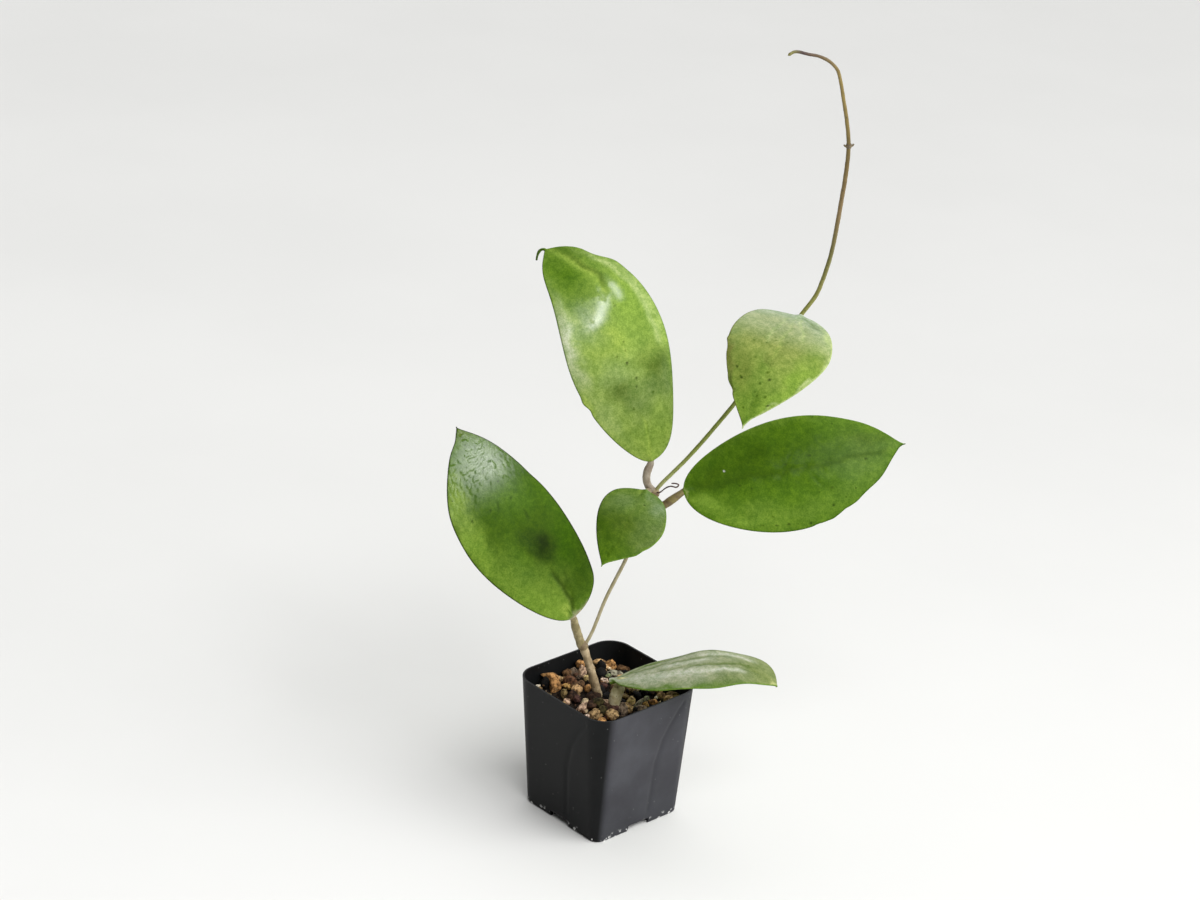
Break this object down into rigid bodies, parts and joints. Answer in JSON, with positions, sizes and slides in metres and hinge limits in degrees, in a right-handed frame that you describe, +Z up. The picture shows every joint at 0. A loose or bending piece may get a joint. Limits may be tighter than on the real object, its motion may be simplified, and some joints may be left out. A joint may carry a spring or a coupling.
{
  "type": "potted hoya plant",
  "caption": "Young climbing hoya in a square nursery pot of loose mix: thick glossy leaves on short stalks, an old woody stem and a long bare vine tip that curls over.",
  "frame": {"origin": "middle of the whole object's footprint box, on the surface that the pot stands on", "axes": "+Z up; X and Y run along the sides of the square pot"},
  "size_m": [0.1896, 0.1828, 0.4486],
  "materials": {
    "pot": "satin, faintly grained",
    "potting_mix": "matt, rough",
    "vine": "matt, woody to green",
    "basal_stem": "matt, woody",
    "leaf_left": "waxy, half gloss",
    "leaf_upper": "waxy, half gloss",
    "leaf_right": "waxy, half gloss",
    "leaf_small": "waxy, half gloss",
    "leaf_high": "waxy, half gloss",
    "leaf_basal": "waxy, half gloss"
  },
  "bodies": {
    "root": {"pot": "pot", "potting_mix": "potting_mix", "vine": "vine", "basal_stem": "basal_stem", "leaf_left": "leaf_left", "leaf_upper": "leaf_upper", "leaf_right": "leaf_right", "leaf_small": "leaf_small", "leaf_high": "leaf_high", "leaf_basal": "leaf_basal"}
  },
  "joints": []
}
